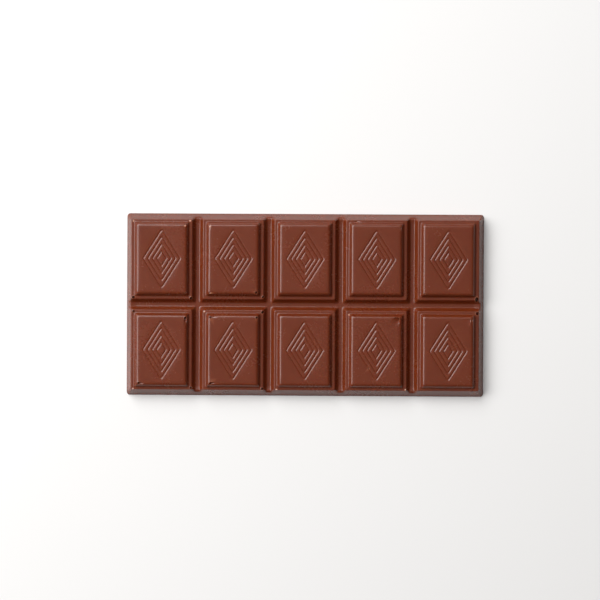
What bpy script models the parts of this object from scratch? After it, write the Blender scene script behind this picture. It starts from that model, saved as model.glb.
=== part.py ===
"""A moulded bar of milk chocolate: two rows of five pieces on one slab, lying on its flat back.

The bar came out of a mould with drafted walls, so its upper side is a height above a flat back.
Lines run across the bar in X and in Y, each with a height of its own, and where two lines cross the
surface takes the lower of the two heights. That gives the grooves, the mitred corners and the sloping
outer wall in one rule. A groove's floor climbs to a low rim before it meets the outer wall, and each
panel carries four nested lozenges, cut as shallow V-shaped lines.
"""

import math
from collections import namedtuple

import bmesh
import bpy
from mathutils import Matrix, Vector

MM = 0.001

# The whole bar, measured at its back
COLUMNS = 5
ROWS = 2
LENGTH = 155.0 * MM
WIDTH = 79.0 * MM
THICKNESS = 8.0 * MM
CORNER_RADIUS = 1.4 * MM

# Heights above the back
LEDGE_HEIGHT = 5.95 * MM
RIM_HEIGHT = 3.8 * MM
GROOVE_HEIGHT = 3.5 * MM

# How far the corners of a piece's section lie inside the line that bounds its cell.
# That line is the middle of a groove, or the bar's own outline.
GROOVE_FOOT = 1.15 * MM
LEDGE_EDGE = 2.38 * MM
STEP_FOOT = 3.8 * MM
PANEL_EDGE = 4.85 * MM

# The panel's border slopes gently: how far it drops, and where it has become level
BEVEL_DROP = 0.13 * MM
BEVEL_END = 5.7 * MM

# Rounding of the section's corners
FOOT_RADIUS = 0.8 * MM
LEDGE_RADIUS = 0.35 * MM
STEP_RADIUS = 0.8 * MM
PANEL_RADIUS = 0.4 * MM
ROUNDING_STEPS = 2

# The rim at a groove's ends: how far from the outline its flat top and the gentle ramp behind it end
RIM_END = 2.2 * MM
RAMP_END = 4.3 * MM

# Rounding in plan, at the corners of a panel and of its ledge
PIECE_CORNER_RADIUS = 0.6 * MM

# The lozenges on a panel: half the outermost one's width and height, and the V-shaped line
LOZENGES = 4
LOZENGE_HALF_WIDTH = 8.0 * MM
LOZENGE_HALF_HEIGHT = 12.7 * MM
LINE_WIDTH = 1.15 * MM
LINE_DEPTH = 0.26 * MM

# Air bubbles that burst at the corners of a mould: column and row counted from the left and the front,
# the level whose corner holds the bubble, which corner (X and Y sign), and the dent's width
BUBBLES = [
    (0, 1, "ledge", 1, -1, 0.9 * MM),
    (0, 1, "ledge", -1, -1, 1.1 * MM),
    (0, 0, "ledge", -1, 1, 0.8 * MM),
    (0, 0, "panel", 1, 1, 0.9 * MM),
    (0, 0, "panel", -1, -1, 0.8 * MM),
    (0, 0, "ledge", 1, -1, 0.9 * MM),
    (1, 1, "panel", 1, -1, 0.9 * MM),
    (1, 1, "ledge", 1, -1, 0.9 * MM),
    (1, 0, "panel", 1, 1, 0.8 * MM),
    (1, 0, "ledge", 1, 1, 1.0 * MM),
    (1, 0, "panel", -1, 1, 0.8 * MM),
    (1, 0, "panel", -1, -1, 0.8 * MM),
    (3, 0, "panel", 1, 1, 0.8 * MM),
    (4, 1, "ledge", 1, -1, 1.3 * MM),
    (4, 0, "ledge", 1, 1, 1.0 * MM),
]
# How much of a dent's width lies below the surface
BUBBLE_SINK = 0.35

SHARP_ANGLE = math.radians(40)
SAME_HEIGHT = 0.000001 * MM
PITCH_X = LENGTH / COLUMNS
PITCH_Y = WIDTH / ROWS

# A line across the bar: where it is, how far that is inside its cell, its own height, its cell,
# the side of the cell that it belongs to, and whether that side is the bar's outer wall
Line = namedtuple("Line", "place inset height cell side outer")


def clear_scene():
    """Removes what Blender's startup file holds."""
    for obj in list(bpy.data.objects):
        bpy.data.objects.remove(obj, do_unlink=True)


def rounded(corner, before, after, radius):
    """Points of the arc that rounds a corner of the section, from the side of before to that of after."""
    corner, before, after = Vector(corner), Vector(before), Vector(after)
    to_before = (before - corner).normalized()
    to_after = (after - corner).normalized()
    half_angle = to_before.angle(to_after) / 2
    tangent = radius / math.tan(half_angle)
    centre = corner + (to_before + to_after).normalized() * radius / math.sin(half_angle)
    start = corner + to_before * tangent - centre
    sweep = start.angle_signed(corner + to_after * tangent - centre)
    turns = [-sweep * step / ROUNDING_STEPS for step in range(ROUNDING_STEPS + 1)]
    return [centre + Matrix.Rotation(turn, 2) @ start for turn in turns]


def piece_section(foot):
    """The section of one side of a piece from the point foot, its wall's lower end, up to the panel."""
    ledge_edge = (LEDGE_EDGE, LEDGE_HEIGHT)
    step_foot = (STEP_FOOT, LEDGE_HEIGHT)
    panel_edge = (PANEL_EDGE, THICKNESS - BEVEL_DROP)
    bevel_end = (BEVEL_END, THICKNESS)
    return (
        rounded(ledge_edge, foot, step_foot, LEDGE_RADIUS)
        + rounded(step_foot, ledge_edge, panel_edge, STEP_RADIUS)
        + rounded(panel_edge, step_foot, bevel_end, PANEL_RADIUS)
        + [Vector(bevel_end)]
    )


def height_at(section, inset):
    """The height of a section at an inset, on the straight line between its points."""
    for low, high in zip(section, section[1:]):
        if low.x <= inset <= high.x:
            return low.y + (high.y - low.y) * (inset - low.x) / (high.x - low.x)
    return section[-1].y


def inset_at(section, height):
    """Where a rising section reaches a height."""
    for low, high in zip(section, section[1:]):
        if low.y < height <= high.y:
            return low.x + (high.x - low.x) * (height - low.y) / (high.y - low.y)
    return section[-1].x


def with_points_at(section, insets):
    """The section with further points on it, at those insets."""
    points = section + [Vector((inset, height_at(section, inset))) for inset in insets]
    return sorted(points, key=lambda point: point.x)


def end_floor(inset):
    """The height of a groove's floor at a distance from the bar's outline: rim, ramp, then the plain floor."""
    share = (inset - RIM_END) / (RAMP_END - RIM_END)
    return RIM_HEIGHT + (GROOVE_HEIGHT - RIM_HEIGHT) * min(1.0, max(0.0, share))


def ramp_inset(height):
    """How far from the bar's outline the ramp of a groove's end has a height."""
    share = (height - RIM_HEIGHT) / (GROOVE_HEIGHT - RIM_HEIGHT)
    return RIM_END + (RAMP_END - RIM_END) * share


def groove_side():
    """The section of a side that faces a groove, from the groove's middle to the panel."""
    middle = Vector((0, GROOVE_HEIGHT))
    foot = (GROOVE_FOOT, GROOVE_HEIGHT)
    wall_top = (LEDGE_EDGE, LEDGE_HEIGHT)
    section = [middle] + rounded(foot, middle, wall_top, FOOT_RADIUS) + piece_section(foot)
    return with_points_at(section, [inset_at(section, RIM_HEIGHT)])


def outer_side():
    """The section of a side on the bar's outline, with points where a groove's rim and ramp cross it."""
    outline = Vector((0, 0))
    section = [outline] + piece_section(outline)
    foot_heights = [point.y for point in groove_side()[1:] if point.y < RIM_HEIGHT - SAME_HEIGHT]
    crossings = [inset_at(section, RIM_HEIGHT), RIM_END] + [ramp_inset(height) for height in foot_heights]
    return with_points_at(section, crossings)


def grid_lines(cells, pitch):
    """The lines across the bar along one axis, in order."""
    inner, outer = groove_side(), outer_side()
    lines = []
    for cell in range(cells):
        low = (cell - cells / 2) * pitch
        high = low + pitch
        at_start, at_end = cell == 0, cell == cells - 1
        rising = outer if at_start else inner[1:]
        falling = outer if at_end else inner
        lines += [Line(low + p.x, p.x, p.y, cell, -1, at_start) for p in rising]
        lines += [Line(high - p.x, p.x, p.y, cell, 1, at_end) for p in reversed(falling)]
    return lines


def raised_by(line, crossing):
    """The height of a line where it crosses another: a groove is raised near the bar's outer wall."""
    if line.outer or not crossing.outer:
        return line.height
    return max(line.height, end_floor(crossing.inset))


def corner_radius_at(inset, on_outline):
    """The plan radius of a level line's corner: a round outline, and smaller corners further in."""
    if not on_outline:
        return PIECE_CORNER_RADIUS
    share = min(1.0, inset / LEDGE_EDGE)
    return CORNER_RADIUS + (PIECE_CORNER_RADIUS - CORNER_RADIUS) * share


def round_in_plan(x_line, y_line):
    """Where two lines cross, moved onto the rounded corner of the level line through the crossing."""
    place = x_line.place, y_line.place
    inset = min(x_line.inset, y_line.inset)
    along = abs(x_line.inset - y_line.inset)
    radius = corner_radius_at(inset, x_line.outer and y_line.outer)
    turns_here = x_line.outer == y_line.outer or inset > LEDGE_EDGE - LEDGE_RADIUS
    if along >= radius or not turns_here:
        return place
    turn = math.radians(45) * (1 - along / radius)
    near = radius * (1 - math.cos(turn))
    far = radius * (1 - math.sin(turn)) - along
    inward = (near, far) if x_line.inset <= y_line.inset else (far, near)
    return place[0] - x_line.side * inward[0], place[1] - y_line.side * inward[1]


def crossing_point(x_line, y_line):
    """The point of the bar's upper side where two lines cross."""
    height = min(raised_by(x_line, y_line), raised_by(y_line, x_line))
    return (*round_in_plan(x_line, y_line), height)


def spans_panel(before, after):
    """Whether a panel lies between two neighbouring lines."""
    return before.side == -1 and after.side == 1


def add_quad(bm, quad):
    """One quad as a face, or as two triangles split along its mitre where it isn't flat."""
    first, second, third, fourth = quad
    rise = abs(first.co.z - third.co.z)
    other_rise = abs(second.co.z - fourth.co.z)
    if abs(first.co.z + third.co.z - second.co.z - fourth.co.z) < SAME_HEIGHT:
        bm.faces.new(quad)
    elif rise > other_rise:
        bm.faces.new((first, second, third))
        bm.faces.new((first, third, fourth))
    else:
        bm.faces.new((first, second, fourth))
        bm.faces.new((second, third, fourth))


def add_upper_side(bm):
    """The grid of crossings as faces, with a hole where each panel goes. Returns the panels' corners."""
    x_lines = grid_lines(COLUMNS, PITCH_X)
    y_lines = grid_lines(ROWS, PITCH_Y)
    grid = [[bm.verts.new(crossing_point(x, y)) for y in y_lines] for x in x_lines]
    panels = []
    for i in range(len(x_lines) - 1):
        for j in range(len(y_lines) - 1):
            quad = [grid[i][j], grid[i + 1][j], grid[i + 1][j + 1], grid[i][j + 1]]
            if spans_panel(*x_lines[i : i + 2]) and spans_panel(*y_lines[j : j + 2]):
                panels.append(quad)
            else:
                add_quad(bm, quad)
    add_back(bm, grid)
    return panels


def add_back(bm, grid):
    """The flat back, inside the outline of the grid."""
    front = [line[0] for line in grid[:-1]]
    right = grid[-1][:-1]
    rear = [line[-1] for line in reversed(grid[1:])]
    left = list(reversed(grid[0][1:]))
    bm.faces.new(reversed(front + right + rear + left))


def add_lozenge_loop(bm, centre, scale, height):
    """Four corners of a lozenge of that scale: right, rear, left, front."""
    half_x, half_y = LOZENGE_HALF_WIDTH * scale, LOZENGE_HALF_HEIGHT * scale
    corners = [(half_x, 0), (0, half_y), (-half_x, 0), (0, -half_y)]
    return [bm.verts.new((centre.x + x, centre.y + y, height)) for x, y in corners]


def join_loops(bm, outer, inner):
    """Faces between two loops of the same number of corners."""
    for i in range(len(outer)):
        after = (i + 1) % len(outer)
        bm.faces.new((outer[i], outer[after], inner[after], inner[i]))


def add_panel(bm, rectangle):
    """Fills one panel, given its corners, with a flat face that nested lozenges are cut into."""
    centre = sum((vert.co for vert in rectangle), Vector()) / len(rectangle)
    diagonal = math.hypot(LOZENGE_HALF_WIDTH, LOZENGE_HALF_HEIGHT)
    centre_to_line = LOZENGE_HALF_WIDTH * LOZENGE_HALF_HEIGHT / diagonal
    half_line = LINE_WIDTH / 2 / centre_to_line
    loops = []
    for number in range(LOZENGES, 0, -1):
        scale = number / LOZENGES
        loops.append(add_lozenge_loop(bm, centre, scale + half_line, THICKNESS))
        loops.append(add_lozenge_loop(bm, centre, scale, THICKNESS - LINE_DEPTH))
        loops.append(add_lozenge_loop(bm, centre, scale - half_line, THICKNESS))
    for outer, inner in zip(loops, loops[1:]):
        join_loops(bm, outer, inner)
    bm.faces.new(loops[-1])

    front_left, front_right, rear_right, rear_left = rectangle
    right, rear, left, front = loops[0]
    for triangle in (
        (rear_right, rear, right),
        (rear_left, left, rear),
        (front_left, front, left),
        (front_right, right, front),
        (front_right, rear_right, right),
        (rear_right, rear_left, rear),
        (rear_left, front_left, left),
        (front_left, front_right, front),
    ):
        bm.faces.new(triangle)


def bubble_centre(column, row, level, x_side, y_side, width):
    """The middle of a burst bubble, a little inside the corner of a panel or of a ledge."""
    inset, height = {"ledge": (LEDGE_EDGE, LEDGE_HEIGHT), "panel": (PANEL_EDGE, THICKNESS)}[level]
    inset += width / 2
    x = (column - (COLUMNS - 1) / 2) * PITCH_X + x_side * (PITCH_X / 2 - inset)
    y = (row - (ROWS - 1) / 2) * PITCH_Y + y_side * (PITCH_Y / 2 - inset)
    return Vector((x, y, height + width * (0.5 - BUBBLE_SINK)))


def make_bubbles():
    """The cutter that leaves the dents of the burst bubbles."""
    bm = bmesh.new()
    for bubble in BUBBLES:
        place = Matrix.Translation(bubble_centre(*bubble))
        bmesh.ops.create_icosphere(bm, subdivisions=1, radius=bubble[-1] / 2, matrix=place)
    mesh = bpy.data.meshes.new("burst_bubbles")
    bm.to_mesh(mesh)
    bm.free()
    cutter = bpy.data.objects.new("burst_bubbles", mesh)
    bpy.context.scene.collection.objects.link(cutter)
    cutter.hide_render = True
    cutter.display_type = "WIRE"
    return cutter


def chocolate_material():
    """Tempered milk chocolate with a satin shine."""
    material = bpy.data.materials.new("milk_chocolate")
    material.use_nodes = True
    shader = material.node_tree.nodes["Principled BSDF"]
    shader.inputs["Base Color"].default_value = (0.19, 0.055, 0.03, 1)
    shader.inputs["Roughness"].default_value = 0.4
    shader.inputs["Metallic"].default_value = 0
    return material


def make_bar():
    """The bar: upper side, back and panels in one closed mesh, with the bubbles cut out of it."""
    bm = bmesh.new()
    for panel in add_upper_side(bm):
        add_panel(bm, panel)
    bmesh.ops.recalc_face_normals(bm, faces=bm.faces)
    mesh = bpy.data.meshes.new("chocolate_bar")
    bm.to_mesh(mesh)
    bm.free()
    mesh.shade_smooth()
    mesh.set_sharp_from_angle(angle=SHARP_ANGLE)
    bar = bpy.data.objects.new("chocolate_bar", mesh)
    bpy.context.scene.collection.objects.link(bar)
    bar.data.materials.append(chocolate_material())
    dents = bar.modifiers.new("dents", "BOOLEAN")
    dents.operation = "DIFFERENCE"
    dents.object = make_bubbles()


clear_scene()
make_bar()
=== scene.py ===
"""Looks of a moulded milk chocolate bar: the fine surface, its chocolate, soft light and the camera."""

import math

import bmesh
import bpy
import numpy as np
from mathutils import Matrix, Vector, noise


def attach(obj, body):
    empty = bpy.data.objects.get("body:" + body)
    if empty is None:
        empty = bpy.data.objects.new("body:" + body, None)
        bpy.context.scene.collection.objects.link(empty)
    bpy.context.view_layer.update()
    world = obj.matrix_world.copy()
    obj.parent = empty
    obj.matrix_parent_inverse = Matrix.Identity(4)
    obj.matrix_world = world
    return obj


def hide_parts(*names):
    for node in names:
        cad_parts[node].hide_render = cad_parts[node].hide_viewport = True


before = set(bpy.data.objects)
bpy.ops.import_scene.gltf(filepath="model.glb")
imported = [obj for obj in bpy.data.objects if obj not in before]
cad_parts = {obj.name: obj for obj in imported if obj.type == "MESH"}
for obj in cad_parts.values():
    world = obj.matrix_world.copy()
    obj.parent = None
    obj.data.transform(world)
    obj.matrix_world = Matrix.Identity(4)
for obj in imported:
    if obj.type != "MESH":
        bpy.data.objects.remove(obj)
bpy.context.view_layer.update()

# Lengths of the bar are in millimetres, and its mesh is scaled to metres once it is made
MM = 0.001

# The bar and the section of its pieces. An inset is measured from the nearest side of a piece's cell
COLUMNS = 5
ROWS = 2
LENGTH = 155.0
WIDTH = 79.0
THICKNESS = 8.0
PITCH_X = LENGTH / COLUMNS
PITCH_Y = WIDTH / ROWS
CORNER_RADIUS = 1.4
LEDGE_HEIGHT = 5.95
RIM_HEIGHT = 3.8
GROOVE_HEIGHT = 3.5
GROOVE_FOOT = 1.15
LEDGE_EDGE = 2.38
LEDGE_MIDDLE = 3.2
RIM_END = 2.2
RAMP_END = 4.3
# The step's foot and top lie up to 0.2 mm further out than the solid's, to fit the photo's edges
STEP_FOOT = 3.75
PANEL_EDGE = 4.68
# The outer walls' widths in plan: steeper at the bar's ends than along its sides
END_WALL = 2.15
SIDE_WALL = 2.7
# Insets past the middle of a cell, and past every wall
PAST_MIDDLE = 20.0
FAR = 90.0
# The inset that stands for a side with no outer wall
NO_WALL = 9.0
# How far below the back the section of a piece is carried on
BELOW_BACK = 2.0

# Roundings of the fine surface
LEDGE_RADIUS = 0.35
STEP_RADIUS = 0.6
PANEL_RADIUS = 1.5
BEVEL_DEPTH = 0.14
BEVEL_END = 6.0
BEVEL_RADIUS = 3.0
RIM_RADIUS = 0.6
RAMP_RADIUS = 3.0
FOOT_BLEND = 1.2
PIECE_CORNER_BLEND = 0.8
PIECE_CORNER_RADIUS = 0.65
# The most degrees between two points of a rounding
ARC_TURN = 6.0
# The edge round the back: its height on the outline, and the inset where it meets the outer wall
BASE_ROUNDING = 0.22
BASE_INSET = 0.3
# The loops that lead from the outline to the flat back: how far inside the outline, and height
BACK_LOOPS = [(0.06, 0.07), (0.22, 0.0)]
# How far past the rim's outer edge the fillet along a groove's foot grows to its full width, and the
# share of that width that is left at the edge
FILLET_GROWTH = 0.6
LEAST_FILLET = 0.001
# Edges that turn by more degrees than this stay sharp
SHARP_TURN = 50

# Where the lines of the grid run, inside each side of a cell
STEP_LINES = [
    2.9, 3.1, 3.27, 3.42, 3.57, 3.72, 3.87, 4.05, 4.3, 4.52, 4.7, 4.86, 5.02, 5.18, 5.34, 5.52, 5.75, 6.0,
]
GROOVE_LINES = [0.0, 0.45, 0.68, 0.86, 1.02, 1.18, 1.36, 1.7, 2.08, 2.22, 2.34, 2.46, 2.62] + STEP_LINES
OUTER_LINES = [0.0, 0.3, 1.0, 1.6, 2.0, 2.12, 2.24, 2.34, 2.46, 2.6] + STEP_LINES
PANEL_LINES_X = 12
PANEL_LINES_Y = 16
# Rings between a panel's border and its outermost lozenge, as shares of the way
PANEL_SHARES = (0.3, 0.65)

# The lozenges
LOZENGES = 4
LOZENGE_HALF_WIDTH = 8.0
LOZENGE_HALF_HEIGHT = 12.7
LOZENGE_TIP = 0.965
LOZENGE_SHIFT = (0.12, 0.1)
LOZENGE_SEGMENTS = (PANEL_LINES_X + PANEL_LINES_Y) // 2
INNERMOST_RING = 0.07
LINE_WIDTH = 0.88
LINE_DEPTH = 0.22
# Across a line: place in halves of its width, and how much of the depth is reached there
LINE_SECTION = [
    (-1.05, 0.0),
    (-0.85, 0.08),
    (-0.5, 0.5),
    (-0.13, 0.95),
    (0.13, 0.95),
    (0.5, 0.5),
    (0.85, 0.08),
    (1.05, 0.0),
]

# How uneven the moulding is: depths, lengths of the waves, and the inset where it has grown to the full
EDGE_WOBBLE = 0.035
SHORT_EDGE_WAVE = 2.6
LONG_EDGE_WAVE = 7.0
FACE_WOBBLE = 0.012
FACE_WAVE = 6.0
WOBBLE_GROWTH = 1.5

# Burst bubbles: column and row from the left and the front, X side, Y side, how far inside those sides
# of the cell, radius along X and Y, and depth
BUBBLES = [
    (0, 1, -1, -1, 3.3, 2.95, 0.61, 0.61, 1.38),
    (0, 1, 1, -1, 2.75, 2.7, 0.57, 0.57, 1.26),
    (0, 1, 1, -1, 4.95, 5.15, 0.33, 0.33, 0.39),
    (1, 1, 1, -1, 5.48, 5.3, 0.50, 0.50, 1.15),
    (1, 1, 1, -1, 2.6, 3.3, 0.50, 0.50, 1.03),
    (0, 0, -1, 1, 3.4, 3.05, 0.50, 0.50, 1.03),
    (0, 0, 1, 1, 5.1, 5.85, 0.54, 0.54, 1.15),
    (0, 0, -1, -1, 5.75, 5.4, 0.47, 0.47, 1.03),
    (0, 0, 1, -1, 2.7, 3.45, 0.50, 0.50, 0.92),
    (1, 0, -1, 1, 5.75, 5.45, 0.47, 0.47, 0.92),
    (1, 0, 1, 1, 5.2, 5.5, 0.50, 0.50, 1.15),
    (1, 0, 1, 1, 2.7, 3.25, 0.59, 0.59, 1.26),
    (1, 0, -1, -1, 5.8, 5.5, 0.47, 0.47, 1.15),
    (1, 0, 1, -1, 2.75, 3.15, 0.53, 0.53, 1.15),
    (3, 1, -1, 1, 6.8, 3.15, 0.40, 0.40, 0.45),
    (3, 1, 1, 1, 5.2, 5.75, 0.29, 0.29, 0.33),
    (4, 1, -1, -1, 5.4, 5.2, 0.31, 0.31, 0.33),
    (3, 1, 1, -1, 10.2, 2.4, 0.33, 0.33, 0.33),
    (4, 1, 1, -1, 3.05, 2.75, 0.73, 1.00, 2.07),
    (4, 0, 1, 1, 2.85, 3.3, 0.61, 0.73, 1.49),
    (3, 0, 1, 1, 5.9, 5.7, 0.54, 0.54, 1.38),
    (4, 0, 1, 1, 6.05, 5.9, 0.29, 0.29, 0.29),
    (4, 0, 1, 1, 5.15, 5.9, 0.33, 0.33, 0.33),
    (4, 1, 1, 1, 1.6, 1.95, 0.47, 0.41, 0.69),
    (3, 0, -1, -1, 12.3, 12.5, 0.33, 0.55, 0.29),
]
BUBBLE_REACH = 2
BOWL_RIM = 0.02
# The lip round a bubble, its place and width as shares of the radius, and how pale it is painted: partly
# wear, partly a painted highlight for the bright ring round the hole
LIP_HEIGHT = 0.05
LIP_PLACE = 1.2
LIP_WIDTH = 0.22
LIP_WEAR_AND_GLINT = 0.45
LIP_GLINT_START = 0.95

# Shallow chips that catch the light, in the same order
CHIPS = [
    (0, 1, -1, 1, 3.1, 3.35, 0.5, 0.5, 0.16),
    (0, 1, 1, 1, 3.4, 3.15, 0.7, 0.5, 0.2),
    (0, 1, 1, 1, 5.4, 5.4, 0.6, 0.5, 0.2),
    (0, 0, -1, -1, 3.1, 2.9, 0.5, 0.5, 0.16),
    (2, 0, -1, -1, 3.3, 2.9, 0.55, 0.5, 0.16),
    (3, 0, -1, 1, 3.6, 4.1, 0.5, 0.5, 0.16),
    (3, 0, 1, -1, 2.8, 3.1, 0.55, 0.5, 0.16),
    (1, 0, -1, 1, 3.0, 3.0, 0.6, 0.5, 0.14),
    (1, 1, -1, -1, 5.7, 4.95, 0.5, 0.45, 0.14),
    (1, 1, -1, 1, 5.4, 5.6, 0.55, 0.45, 0.16),
]
CHIP_REACH = 1.3
# A chip's facet faces the upper left of the photo. Past a share of the radius it climbs steeply
CHIP_SLOPE = 0.37
CHIP_FACING = (0.8, 0.6)
CHIP_FLAT = 0.8
CHIP_CLIMB = 3.0
# The depth from which a chip is fully painted pale, partly as wear and partly as a painted highlight for its
# glint
CHIP_GLINT_DEPTH = 0.06

# Vertices and faces above this height are on the moulded side, where the mesh gets finer round dents
MOULDED_SIDE = 1.0
REFINE_REACH = 1.5
LONGEST_EDGE = 0.12

# Chocolate: its colours as the mottle goes from low to high, the pale colour of chips and bubble lips (partly
# wear, partly a painted highlight), and its roughness
MOTTLE_LOW = 0.3
MOTTLE_HIGH = 0.7
DARK_CHOCOLATE = (0.125, 0.019, 0.0036, 1)
LIGHT_CHOCOLATE = (0.146, 0.0235, 0.0048, 1)
WORN_AND_GLINT_CHOCOLATE = (0.35, 0.125, 0.058, 1)
BLOTCH_SHARE = 0.65
GRAIN_SHARE = 0.35
ROUGHNESS = (0.24, 0.29)

# The floor and the key light, with lengths in metres and power in watts
FLOOR_HALF = 3.0
FLOOR_DROP = 0.00005
FLOOR_COLOUR = (0.74, 0.73, 0.72, 1)
KEY_PLACE = (-0.616, 0.462, 0.855)
KEY_SIZE = (1.6, 0.75)
KEY_POWER = 24.0
# The surroundings are brightest towards this direction. They are dimmest where the cosine of the angle
# to it is below the dim end
WORLD_BRIGHT_SIDE = (-0.45, 0.34, 0.83)
WORLD_STRENGTH = 0.6
WORLD_DIM_SHARE = 0.2
WORLD_DIM_END = 0.4

# The camera: its place and clipping in metres, its angles in degrees, its focal length in pixels of the
# square picture, and its sensor in millimetres
CAMERA_PLACE = (0.02700, 0.01841, 1.263)
CAMERA_LEAN_X = 1.324
CAMERA_LEAN_Y = 0.739
CAMERA_ROLL = 0.298
FOCAL_PIXELS = 2905
PICTURE_PIXELS = 600
SENSOR_WIDTH = 36.0
CLIP_START = 0.01


def section(corners, radii):
    """A polyline of (place, height) with its inner corners rounded, as two arrays."""
    points = [corners[0]]
    for before, corner, after, radius in zip(corners, corners[1:], corners[2:], radii):
        before, corner, after = Vector(before), Vector(corner), Vector(after)
        to_before = (before - corner).normalized()
        to_after = (after - corner).normalized()
        half_angle = to_before.angle(to_after) / 2
        tangent = radius / math.tan(half_angle)
        centre = corner + (to_before + to_after).normalized() * radius / math.sin(half_angle)
        start = corner + to_before * tangent - centre
        sweep = start.angle_signed(corner + to_after * tangent - centre)
        steps = max(2, math.ceil(abs(math.degrees(sweep)) / ARC_TURN))
        for step in range(steps + 1):
            points.append(tuple(centre + Matrix.Rotation(-sweep * step / steps, 2) @ start))
    points.append(corners[-1])
    return np.array(points).T


WALL_SLOPE = (LEDGE_HEIGHT - GROOVE_HEIGHT) / (LEDGE_EDGE - GROOVE_FOOT)
OUTER_SLOPE = LEDGE_HEIGHT / LEDGE_EDGE
# The section of a piece, with its groove wall carried on down to below the back
PIECE = section(
    [
        (LEDGE_EDGE - (LEDGE_HEIGHT + BELOW_BACK) / WALL_SLOPE, -BELOW_BACK),
        (LEDGE_EDGE, LEDGE_HEIGHT),
        (STEP_FOOT, LEDGE_HEIGHT),
        (PANEL_EDGE, THICKNESS - BEVEL_DEPTH),
        (BEVEL_END, THICKNESS),
        (PAST_MIDDLE, THICKNESS),
    ],
    [LEDGE_RADIUS, STEP_RADIUS, PANEL_RADIUS, BEVEL_RADIUS],
)
# The floor of a groove, from the outer wall over the rim and down the ramp
RIM_INSET = RIM_HEIGHT / OUTER_SLOPE
FLOOR = section(
    [
        (0.0, 0.0),
        (RIM_INSET, RIM_HEIGHT),
        (RIM_END, RIM_HEIGHT),
        (RAMP_END, GROOVE_HEIGHT),
        (FAR, GROOVE_HEIGHT),
    ],
    [RIM_RADIUS, RAMP_RADIUS, RAMP_RADIUS],
)


def smooth_min(a, b, blend):
    """The lower of two values, with a round transition that wide where they are nearly equal."""
    near = np.maximum(blend - np.abs(a - b), 0.0) / blend
    return np.minimum(a, b) - near * near * blend / 4


def to_level(inset, outer, wall):
    """The inset on the common section for an inset on a side whose outer wall is that wide."""
    level = np.interp(inset, [0.0, wall, LEDGE_MIDDLE, FAR], [0.0, LEDGE_EDGE, LEDGE_MIDDLE, FAR])
    return np.where(outer, level, inset)


def from_level(level, wall):
    """The inset on a side whose outer wall is that wide, for an inset on the common section."""
    return float(np.interp(level, [0.0, LEDGE_EDGE, LEDGE_MIDDLE, FAR], [0.0, wall, LEDGE_MIDDLE, FAR]))


def wall_inset(level, outer):
    """The inset that gives an outer wall's height on the slope of a groove's wall."""
    steeper = LEDGE_EDGE - (LEDGE_EDGE - level) * OUTER_SLOPE / WALL_SLOPE
    return np.where(outer & (level < LEDGE_EDGE), steeper, level)


def insets(place, pitch, cells):
    """How far inside its cell each place along one axis is, and whether that side is an outer wall."""
    along = place / pitch + cells / 2
    cell = np.clip(np.floor(along), 0, cells - 1)
    low = (along - cell) * pitch
    high = pitch - low
    outer = np.where(low <= high, cell == 0, cell == cells - 1)
    return np.minimum(low, high), outer


def levels(x, y):
    """The insets on the common section along X and Y, each with whether that side is an outer wall."""
    x_inset, x_outer = insets(x, PITCH_X, COLUMNS)
    y_inset, y_outer = insets(y, PITCH_Y, ROWS)
    return to_level(x_inset, x_outer, END_WALL), x_outer, to_level(y_inset, y_outer, SIDE_WALL), y_outer


def wobble(points, size, seed):
    """Smooth noise for an array of (x, y) points."""
    shift = Vector((17.3 * seed, -9.1 * seed, 5.7 * seed))
    return np.array([noise.noise(Vector((x / size, y / size, 0.0)) + shift) for x, y in points])


def plain_height(x, y):
    """The height of the moulded surface at arrays of places, without lozenges and dents."""
    points = np.stack([x, y], axis=1)
    x_inset, x_outer, y_inset, y_outer = levels(x, y)
    from_edge = np.minimum(np.where(x_outer, x_inset, NO_WALL), np.where(y_outer, y_inset, NO_WALL))
    growth = np.clip(from_edge / WOBBLE_GROWTH, 0, 1)
    shift = EDGE_WOBBLE * wobble(points, SHORT_EDGE_WAVE, 1) + EDGE_WOBBLE * wobble(points, LONG_EDGE_WAVE, 2)
    shift *= growth
    x_place = wall_inset(x_inset, x_outer) + shift
    y_place = wall_inset(y_inset, y_outer) + shift
    sharp = np.minimum(x_place, y_place)
    place = np.where(x_outer & y_outer, sharp, smooth_min(x_place, y_place, PIECE_CORNER_BLEND))
    piece = np.interp(place, *PIECE)
    x_floor = np.where(x_outer, np.interp(x_inset, *FLOOR), THICKNESS)
    y_floor = np.where(y_outer, np.interp(y_inset, *FLOOR), THICKNESS)
    floor = np.where(x_outer | y_outer, np.minimum(x_floor, y_floor), GROOVE_HEIGHT)
    # The fillet along a groove's foot ends where the outer wall begins
    blend = FOOT_BLEND * np.clip((from_edge - RIM_INSET) / FILLET_GROWTH, LEAST_FILLET, 1.0)
    height = -smooth_min(-piece, -floor, blend)
    base = BASE_ROUNDING + from_edge * (OUTER_SLOPE * BASE_INSET - BASE_ROUNDING) / BASE_INSET
    height = np.where(from_edge < BASE_INSET, np.maximum(height, base), height)
    return np.minimum(height + FACE_WOBBLE * wobble(points, FACE_WAVE, 3) * growth, THICKNESS)


def level_at(x, y):
    """The height of the moulded surface at one place."""
    return float(plain_height(np.array([x]), np.array([y]))[0])


def dent_place(dent):
    """The middle of a bubble or chip in the bar's plane."""
    column, row, x_side, y_side, x_inset, y_inset = dent[:6]
    x = (column + 0.5 - COLUMNS / 2) * PITCH_X + x_side * (PITCH_X / 2 - x_inset)
    y = (row + 0.5 - ROWS / 2) * PITCH_Y + y_side * (PITCH_Y / 2 - y_inset)
    return x, y


def refine(bm, dents):
    """Divides the faces of the moulded side round each dent."""
    for dent in dents:
        cx, cy = dent_place(dent)
        reach = REFINE_REACH * max(dent[6], dent[7])
        edges = set()
        for face in bm.faces:
            middle = face.calc_center_median()
            if middle.z > MOULDED_SIDE and abs(middle.x - cx) < reach and abs(middle.y - cy) < reach:
                edges.update(face.edges)
        long_edges = [edge for edge in edges if edge.calc_length() > LONGEST_EDGE]
        bmesh.ops.subdivide_edges(bm, edges=long_edges, cuts=2, use_grid_fill=True)


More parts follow.
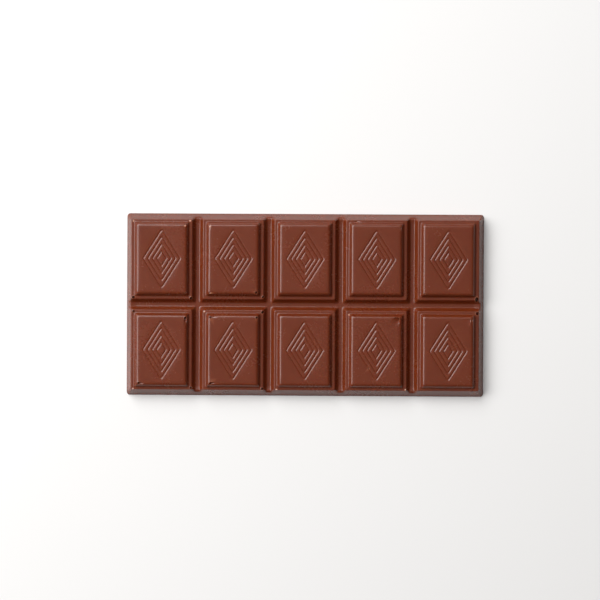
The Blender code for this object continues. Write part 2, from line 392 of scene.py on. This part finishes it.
def around(dent, reach, x, y, z):
    """The moulded side's vertices near a dent, and how far from its middle, as shares of its radii."""
    cx, cy = dent_place(dent)
    rx, ry = dent[6:8]
    close = (np.abs(x - cx) < reach * rx) & (np.abs(y - cy) < reach * ry) & (z > MOULDED_SIDE)
    near = np.flatnonzero(close)
    return near, np.hypot((x[near] - cx) / rx, (y[near] - cy) / ry)


def cut_dents(bm):
    """Cuts chips and burst bubbles into the surface, and gives how pale each vertex is painted: partly wear,
    partly a painted highlight on chips and bubble lips.
    """
    places = np.array([vert.co for vert in bm.verts])
    x, y, z = places.T.copy()
    glint_wear = np.zeros(len(z))
    for dent in CHIPS:
        cx, cy = dent_place(dent)
        near, out = around(dent, CHIP_REACH, x, y, z)
        rise = CHIP_SLOPE * (CHIP_FACING[0] * (x[near] - cx) - CHIP_FACING[1] * (y[near] - cy))
        facet = level_at(cx, cy) - dent[8] + rise
        facet += CHIP_CLIMB * np.clip(out - CHIP_FLAT, 0, 1)
        # Chips are painted paler: partly wear, partly a painted highlight for their glint
        glint_wear[near] = np.maximum(glint_wear[near], np.clip((z[near] - facet) / CHIP_GLINT_DEPTH, 0, 1))
        z[near] = np.minimum(z[near], facet)
    for dent in BUBBLES:
        cx, cy = dent_place(dent)
        near, out = around(dent, BUBBLE_REACH, x, y, z)
        swell = np.exp(-(((out - LIP_PLACE) / LIP_WIDTH) ** 2))
        bowl = level_at(cx, cy) - dent[8] * np.clip(1 - out**4, 0, 1) ** 0.5 - BOWL_RIM
        z[near] = np.where(out < 1, np.minimum(z[near], bowl), z[near] + LIP_HEIGHT * swell)
        # The lip round a bubble is painted paler: partly wear, partly a painted highlight for its bright ring
        glint_wear[near] = np.maximum(glint_wear[near] * (out > 1), LIP_WEAR_AND_GLINT * swell * (out > LIP_GLINT_START))
    z = np.minimum(z, THICKNESS)
    for vert, height in zip(bm.verts, z):
        vert.co.z = height
    return glint_wear


def grid_places(cells, pitch, panel_lines, wall):
    """Places of the grid's lines along one axis, and the index ranges that span a panel."""
    places, spans = [], []
    outer_lines = [from_level(level, wall) for level in OUTER_LINES]
    for cell in range(cells):
        low = (cell - cells / 2) * pitch
        rising = outer_lines if cell == 0 else GROOVE_LINES[1:]
        falling = outer_lines if cell == cells - 1 else GROOVE_LINES
        places += [low + inset for inset in rising]
        first = len(places) - 1
        start, end = places[-1], low + pitch - falling[-1]
        places += [start + (end - start) * k / panel_lines for k in range(1, panel_lines)]
        spans.append((first, len(places)))
        places += [low + pitch - inset for inset in reversed(falling)]
    return np.array(places), spans


def round_corner(x, y):
    """Grid points near a corner of the bar, moved onto rounded level lines."""
    x_inset, x_outer, y_inset, y_outer = levels(x, y)
    inset = np.minimum(x_inset, y_inset)
    along = np.abs(x_inset - y_inset)
    share = np.minimum(1.0, inset / LEDGE_EDGE)
    radius = CORNER_RADIUS + (PIECE_CORNER_RADIUS - CORNER_RADIUS) * share
    moved = x_outer & y_outer & (along < radius)
    turn = math.radians(45) * (1 - np.minimum(1.0, along / radius))
    near = np.where(moved, radius * (1 - np.cos(turn)), 0.0)
    far = np.where(moved, radius * (1 - np.sin(turn)) - along, 0.0)
    x_first = x_inset <= y_inset
    dx = np.where(x_first, near, far)
    dy = np.where(x_first, far, near)
    return x - np.sign(x) * dx * END_WALL / LEDGE_EDGE, y - np.sign(y) * dy * SIDE_WALL / LEDGE_EDGE


def lozenge_ring(scale):
    """Points round a lozenge of that scale, counterclockwise from its right corner."""
    corners = [(1, 0), (0, 1), (-1, 0), (0, -1)]
    ring = []
    for (ax, ay), (bx, by) in zip(corners, corners[1:] + corners[:1]):
        for k in range(LOZENGE_SEGMENTS):
            share = k / LOZENGE_SEGMENTS
            x = ax + (bx - ax) * share
            y = ay * LOZENGE_TIP if k == 0 else ay + (by - ay) * share
            ring.append((scale * LOZENGE_HALF_WIDTH * x, scale * LOZENGE_HALF_HEIGHT * y))
    return np.array(ring) + LOZENGE_SHIFT


def lozenge_scales():
    """The scale and the depth of each ring that shapes the lozenges, from the outermost inwards."""
    diagonal = math.hypot(LOZENGE_HALF_WIDTH, LOZENGE_HALF_HEIGHT)
    reach = LOZENGE_HALF_WIDTH * LOZENGE_HALF_HEIGHT / diagonal
    rings = []
    for number in range(LOZENGES, 0, -1):
        for place, depth in reversed(LINE_SECTION):
            rings.append((number / LOZENGES + place * LINE_WIDTH / 2 / reach, depth * LINE_DEPTH))
    rings.append((INNERMOST_RING, 0.0))
    return rings


def panel_border(i0, i1, j0, j1):
    """Grid indices round a panel, counterclockwise from the middle of its right side."""
    middle = (j0 + j1) // 2
    return (
        [(i1, j) for j in range(middle, j1)]
        + [(i, j1) for i in range(i1, i0, -1)]
        + [(i0, j) for j in range(j1, j0, -1)]
        + [(i, j0) for i in range(i0, i1)]
        + [(i1, j) for j in range(j0, middle)]
    )


def band(before, after):
    """The faces between two loops with as many vertices."""
    for k in range(len(before)):
        m = (k + 1) % len(before)
        yield before[k], before[m], after[m], after[k]


def add_panel(verts, faces, before, outline, centre):
    """Adds a panel with its lozenges, as rings from its border to its middle."""
    rings = lozenge_scales()
    outermost = centre + lozenge_ring(rings[0][0])
    loops = [(outline + (outermost - outline) * share, 0.0) for share in PANEL_SHARES]
    loops += [(centre + lozenge_ring(scale), depth) for scale, depth in rings]
    for points, depth in loops:
        z = plain_height(points[:, 0], points[:, 1]) - depth
        after = list(range(len(verts), len(verts) + len(points)))
        verts.extend(zip(points[:, 0], points[:, 1], z))
        faces.extend(band(before, after))
        before = after
    verts.append((*(centre + LOZENGE_SHIFT), THICKNESS))
    for k in range(len(before)):
        faces.append((before[k], before[(k + 1) % len(before)], len(verts) - 1))


def add_back(verts, faces, before):
    """Adds the flat back, with a small rounding round its edge."""
    for inward, z in BACK_LOOPS:
        x_share = 1 - inward / (LENGTH / 2)
        y_share = 1 - inward / (WIDTH / 2)
        after = list(range(len(verts), len(verts) + len(before)))
        verts.extend([(verts[k][0] * x_share, verts[k][1] * y_share, z) for k in before])
        for low, high, high_after, low_after in band(before, after):
            faces.append((high, low, low_after, high_after))
        before = after
    faces.append(tuple(reversed(before)))


def build_surface():
    """Vertices and faces of the moulded side and the back, before the dents."""
    xs, x_spans = grid_places(COLUMNS, PITCH_X, PANEL_LINES_X, END_WALL)
    ys, y_spans = grid_places(ROWS, PITCH_Y, PANEL_LINES_Y, SIDE_WALL)
    nx, ny = len(xs), len(ys)
    gx, gy = np.meshgrid(xs, ys, indexing="ij")
    panels = [(*x_span, *y_span) for x_span in x_spans for y_span in y_spans]
    hole = np.zeros((nx, ny), bool)
    hole_face = np.zeros((nx - 1, ny - 1), bool)
    for i0, i1, j0, j1 in panels:
        hole[i0 + 1 : i1, j0 + 1 : j1] = True
        hole_face[i0:i1, j0:j1] = True
    # The level of each grid point is read before the bar's corners are rounded
    flat_x, flat_y = gx.ravel(), gy.ravel()
    height = plain_height(flat_x, flat_y)
    px, py = round_corner(flat_x, flat_y)
    keep = np.flatnonzero(~hole.ravel())
    index = -np.ones(nx * ny, int)
    index[keep] = np.arange(len(keep))
    verts = list(zip(px[keep], py[keep], height[keep]))
    index = index.reshape(nx, ny)
    faces = []
    for i in range(nx - 1):
        for j in range(ny - 1):
            if not hole_face[i, j]:
                faces.append((index[i, j], index[i + 1, j], index[i + 1, j + 1], index[i, j + 1]))
    for i0, i1, j0, j1 in panels:
        border = panel_border(i0, i1, j0, j1)
        outline = np.array([(xs[i], ys[j]) for i, j in border])
        centre = np.array([(xs[i0] + xs[i1]) / 2, (ys[j0] + ys[j1]) / 2])
        add_panel(verts, faces, [int(index[i, j]) for i, j in border], outline, centre)
    rim = (
        [(i, 0) for i in range(nx - 1)]
        + [(nx - 1, j) for j in range(ny - 1)]
        + [(i, ny - 1) for i in range(nx - 1, 0, -1)]
        + [(0, j) for j in range(ny - 1, 0, -1)]
    )
    add_back(verts, faces, [int(index[i, j]) for i, j in rim])
    return verts, faces


def build_mesh():
    """The whole fine surface of the bar as one closed mesh."""
    mesh = bpy.data.meshes.new("moulded_chocolate")
    verts, faces = build_surface()
    mesh.from_pydata(verts, [], faces)
    bm = bmesh.new()
    bm.from_mesh(mesh)
    refine(bm, CHIPS + BUBBLES)
    glint_wear = cut_dents(bm)
    bmesh.ops.scale(bm, vec=(MM, MM, MM), verts=bm.verts)
    bm.to_mesh(mesh)
    bm.free()
    # The pale paint of chips and bubble lips, partly wear and partly a painted highlight, is kept on the mesh
    mesh.attributes.new("wear_and_glint", "FLOAT", "POINT").data.foreach_set("value", glint_wear)
    mesh.validate()
    mesh.shade_smooth()
    mesh.set_sharp_from_angle(angle=math.radians(SHARP_TURN))
    return mesh


def node(tree, kind, **inputs):
    """A shader node with some of its inputs set by name."""
    made = tree.nodes.new(kind)
    for key, value in inputs.items():
        made.inputs[key.replace("_", " ")].default_value = value
    return made


def chocolate():
    """Milk chocolate as it leaves a mould: satin, faintly mottled, paler on chips and bubble lips, partly as
    wear and partly as a painted highlight.
    """
    material = bpy.data.materials.new("moulded_milk_chocolate")
    material.use_nodes = True
    tree = material.node_tree
    link = tree.links.new
    shader = tree.nodes["Principled BSDF"]
    place = node(tree, "ShaderNodeTexCoord")
    blotch = node(tree, "ShaderNodeTexNoise", Scale=70.0, Detail=4.0, Roughness=0.55)
    link(place.outputs["Object"], blotch.inputs["Vector"])
    grain = node(tree, "ShaderNodeTexNoise", Scale=900.0, Detail=5.0, Roughness=0.6)
    link(place.outputs["Object"], grain.inputs["Vector"])

    # Mottle: a share of the blotches and a share of the grain
    scaled = node(tree, "ShaderNodeMath")
    scaled.operation = "MULTIPLY"
    link(blotch.outputs["Fac"], scaled.inputs[0])
    scaled.inputs[1].default_value = BLOTCH_SHARE
    mottle = node(tree, "ShaderNodeMath")
    mottle.operation = "MULTIPLY_ADD"
    link(grain.outputs["Fac"], mottle.inputs[0])
    mottle.inputs[1].default_value = GRAIN_SHARE
    link(scaled.outputs[0], mottle.inputs[2])

    ramp = node(tree, "ShaderNodeValToRGB")
    low, high = ramp.color_ramp.elements
    low.position = MOTTLE_LOW
    low.color = DARK_CHOCOLATE
    high.position = MOTTLE_HIGH
    high.color = LIGHT_CHOCOLATE
    link(mottle.outputs[0], ramp.inputs["Fac"])
    # Chips and bubble lips are mixed towards a paler colour: partly wear, partly a painted highlight
    glint_wear = node(tree, "ShaderNodeAttribute")
    glint_wear.attribute_name = "wear_and_glint"
    # Inputs 6 and 7 are the mix node's two colours, and output 2 is the mixed one
    glint_wear_mix = node(tree, "ShaderNodeMix")
    glint_wear_mix.data_type = "RGBA"
    link(glint_wear.outputs["Fac"], glint_wear_mix.inputs["Factor"])
    link(ramp.outputs["Color"], glint_wear_mix.inputs[6])
    glint_wear_mix.inputs[7].default_value = WORN_AND_GLINT_CHOCOLATE
    link(glint_wear_mix.outputs[2], shader.inputs["Base Color"])

    rough = node(tree, "ShaderNodeMapRange", From_Min=MOTTLE_LOW, From_Max=MOTTLE_HIGH)
    rough.inputs["To Min"].default_value, rough.inputs["To Max"].default_value = ROUGHNESS
    link(mottle.outputs[0], rough.inputs["Value"])
    link(rough.outputs["Result"], shader.inputs["Roughness"])
    bump = node(tree, "ShaderNodeBump", Strength=0.12, Distance=0.0002)
    link(grain.outputs["Fac"], bump.inputs["Height"])
    link(bump.outputs["Normal"], shader.inputs["Normal"])
    shader.inputs["IOR"].default_value = 1.47
    shader.inputs["Subsurface Weight"].default_value = 0.6
    shader.inputs["Subsurface Radius"].default_value = (1.0, 0.35, 0.15)
    shader.inputs["Subsurface Scale"].default_value = 0.0003
    return material


def add_floor():
    """A plain pale floor, just below the bar's back."""
    mesh = bpy.data.meshes.new("floor")
    corners = [(-1, -1), (1, -1), (1, 1), (-1, 1)]
    mesh.from_pydata([(x * FLOOR_HALF, y * FLOOR_HALF, 0) for x, y in corners], [], [(0, 1, 2, 3)])
    floor = bpy.data.objects.new("floor", mesh)
    floor.location.z = -FLOOR_DROP
    material = bpy.data.materials.new("pale_floor")
    material.use_nodes = True
    shader = material.node_tree.nodes["Principled BSDF"]
    shader.inputs["Base Color"].default_value = FLOOR_COLOUR
    shader.inputs["Roughness"].default_value = 0.8
    mesh.materials.append(material)
    bpy.context.scene.collection.objects.link(floor)


def add_key_light():
    """One large soft light that faces the bar from the photo's upper left."""
    light = bpy.data.lights.new("key", "AREA")
    light.shape = "RECTANGLE"
    light.size, light.size_y = KEY_SIZE
    light.energy = KEY_POWER
    lamp = bpy.data.objects.new("key", light)
    lamp.location = KEY_PLACE
    lamp.rotation_euler = Vector(KEY_PLACE).to_track_quat("Z", "Y").to_euler()
    bpy.context.scene.collection.objects.link(lamp)


def add_camera():
    """The photograph's view: from high above through a long lens, a little right of and behind the middle."""
    lean_x = math.sin(math.radians(CAMERA_LEAN_X))
    lean_y = math.sin(math.radians(CAMERA_LEAN_Y))
    back = Vector((lean_x, lean_y, 1.0)).normalized()
    right = Vector((0, 1, 0)).cross(back).normalized()
    up = back.cross(right)
    roll = Matrix.Rotation(math.radians(CAMERA_ROLL), 4, "Z")
    turn = Matrix((right, up, back)).transposed().to_4x4() @ roll
    camera = bpy.data.objects.new("camera", bpy.data.cameras.new("camera"))
    camera.data.sensor_width = SENSOR_WIDTH
    camera.data.lens = SENSOR_WIDTH * FOCAL_PIXELS / PICTURE_PIXELS
    camera.data.clip_start = CLIP_START
    camera.matrix_world = Matrix.Translation(CAMERA_PLACE) @ turn
    bpy.context.scene.collection.objects.link(camera)
    bpy.context.scene.camera = camera


def add_world():
    """Neutral surroundings, brighter above and towards the photo's upper left."""
    world = bpy.data.worlds.new("surroundings")
    world.use_nodes = True
    tree = world.node_tree
    background = tree.nodes["Background"]
    background.inputs["Color"].default_value = (1, 1, 1, 1)
    place = node(tree, "ShaderNodeTexCoord")
    toward = node(tree, "ShaderNodeVectorMath")
    toward.operation = "DOT_PRODUCT"
    toward.inputs[1].default_value = WORLD_BRIGHT_SIDE
    tree.links.new(place.outputs["Generated"], toward.inputs[0])
    level = node(tree, "ShaderNodeMapRange", From_Min=WORLD_DIM_END)
    level.inputs["To Min"].default_value = WORLD_DIM_SHARE * WORLD_STRENGTH
    level.inputs["To Max"].default_value = WORLD_STRENGTH
    tree.links.new(toward.outputs["Value"], level.inputs["Value"])
    tree.links.new(level.outputs["Result"], background.inputs["Strength"])
    bpy.context.scene.world = world


bar = bpy.data.objects.new("moulded_chocolate", build_mesh())
bpy.context.scene.collection.objects.link(bar)
bar.data.materials.append(chocolate())
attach(bar, "root")
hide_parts("chocolate_bar")

add_floor()
add_camera()
add_world()
add_key_light()
bpy.context.scene.view_settings.view_transform = "Standard"
